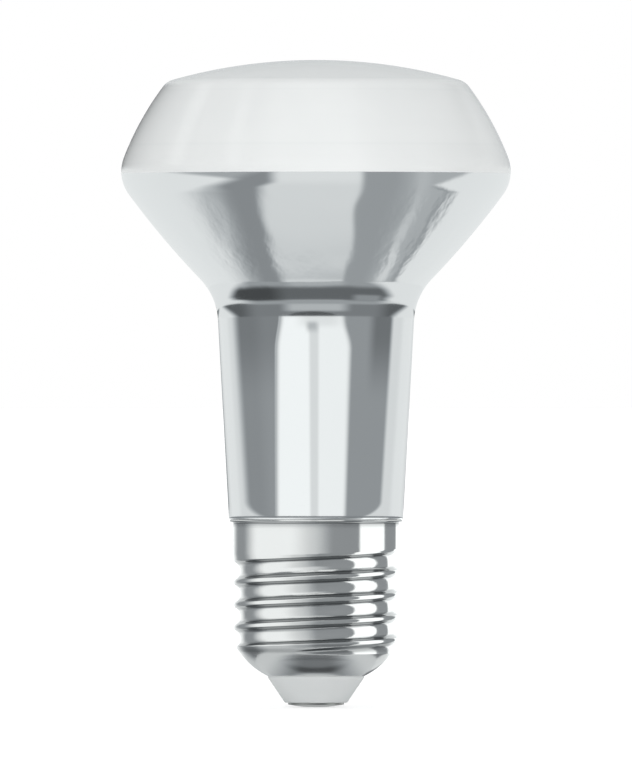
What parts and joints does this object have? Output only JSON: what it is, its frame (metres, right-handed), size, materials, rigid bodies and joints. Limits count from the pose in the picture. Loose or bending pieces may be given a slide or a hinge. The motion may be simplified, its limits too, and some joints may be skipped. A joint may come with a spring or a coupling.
{
  "type": "reflector bulb",
  "caption": "Blown reflector bulb with a frosted face, a mirrored cone and neck, and a rolled screw cap with its insulator and centre contact.",
  "frame": {"origin": "on the bulb's axis at the lowest point of the centre contact", "axes": "+Z along the bulb's axis from the contact to the face, so the bulb stands cap down as in the picture; -Y is the side the picture shows, +X is its right"},
  "size_m": [0.0626, 0.0626, 0.104],
  "materials": {
    "envelope": "one blown glass: frosted white above its widest line, mirror coated below it",
    "cap_metal": "bright nickel plate on rolled sheet",
    "insulator": "smooth white moulding",
    "contact_metal": "bright nickel plate"
  },
  "bodies": {
    "root": {"glass_bulb": "envelope", "cap_shell": "cap_metal", "cap_insulator": "insulator", "centre_contact": "contact_metal"}
  },
  "joints": []
}
